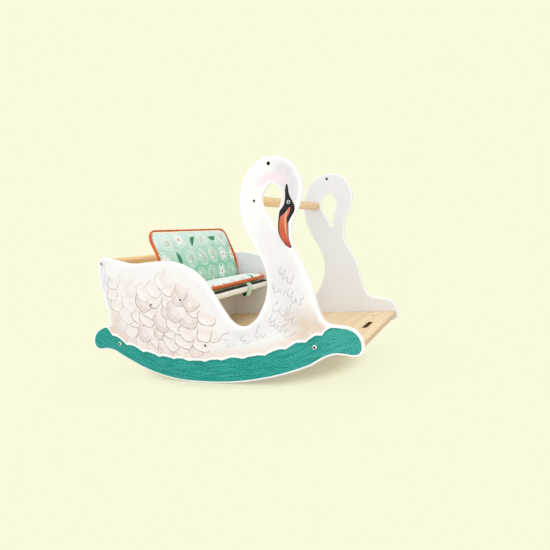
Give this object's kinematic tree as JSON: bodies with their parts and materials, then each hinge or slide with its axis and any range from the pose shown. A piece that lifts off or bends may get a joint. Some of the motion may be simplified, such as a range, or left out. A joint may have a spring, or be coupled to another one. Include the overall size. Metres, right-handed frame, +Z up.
{
  "type": "rocking swan",
  "caption": "Wooden rocking swan for a small child: cut-out swan sides on curved runners, handle bar, floor board, padded seat and a swinging toy strap.",
  "frame": {"origin": "on the floor, under the middle of the toy's length and width", "axes": "+X forward toward the beak, +Y to the rider's left, +Z up"},
  "size_m": [0.8081, 0.4804, 0.563],
  "materials": {
    "painted_panel": "printed white feathers over teal runners, satin",
    "plywood": "clear lacquered birch plywood",
    "beech": "clear lacquered dowel",
    "mint_cloth": "woven cotton with a small print",
    "orange_piping": "corded edging",
    "sleeve_cloth": "striped woven cotton",
    "strap_webbing": "soft webbing",
    "nickel": "nickel plate",
    "zinc_steel": "zinc plate"
  },
  "bodies": {
    "frame": {"side_panel_right": "painted_panel", "side_panel_left": "painted_panel", "floor_board": "plywood", "seat_support_board": "plywood", "seat_board": "plywood", "backrest_board": "plywood", "handle_bar": "beech", "tail_bar": "beech", "front_rail": "beech", "rail_sleeve": "sleeve_cloth", "seat_pad": "mint_cloth", "backrest_pad": "mint_cloth", "mat_piping": "orange_piping", "handle_bolt_right": "zinc_steel", "tail_bolt_right": "zinc_steel", "support_bolt_right": "zinc_steel", "seat_bolt_right": "zinc_steel", "floor_1_bolt_right": "zinc_steel", "floor_2_bolt_right": "zinc_steel", "floor_3_bolt_right": "zinc_steel", "handle_bolt_left": "zinc_steel", "tail_bolt_left": "zinc_steel", "support_bolt_left": "zinc_steel", "seat_bolt_left": "zinc_steel", "floor_1_bolt_left": "zinc_steel", "floor_2_bolt_left": "zinc_steel", "floor_3_bolt_left": "zinc_steel", "support_nut_right": "zinc_steel", "seat_nut_right": "zinc_steel", "floor_1_nut_right": "zinc_steel", "floor_2_nut_right": "zinc_steel", "floor_3_nut_right": "zinc_steel", "support_nut_left": "zinc_steel", "seat_nut_left": "zinc_steel", "floor_1_nut_left": "zinc_steel", "floor_2_nut_left": "zinc_steel", "floor_3_nut_left": "zinc_steel", "handle_insert_right": "zinc_steel", "tail_insert_right": "zinc_steel", "head_socket_right": "zinc_steel", "handle_insert_left": "zinc_steel", "tail_insert_left": "zinc_steel", "head_socket_left": "zinc_steel", "backrest_screw_1": "zinc_steel", "backrest_screw_2": "zinc_steel", "backrest_screw_3": "zinc_steel"},
    "strap": {"toy_strap": "strap_webbing", "strap_snap_cap": "nickel", "strap_snap_stud": "nickel"}
  },
  "joints": [
    {"name": "strap_swing", "type": "hinge", "parent": "frame", "child": "strap", "pos_m": [-0.0515, 0.083, 0.217], "axis": [0, -1, 0], "range_deg": [-25, 60]}
  ]
}
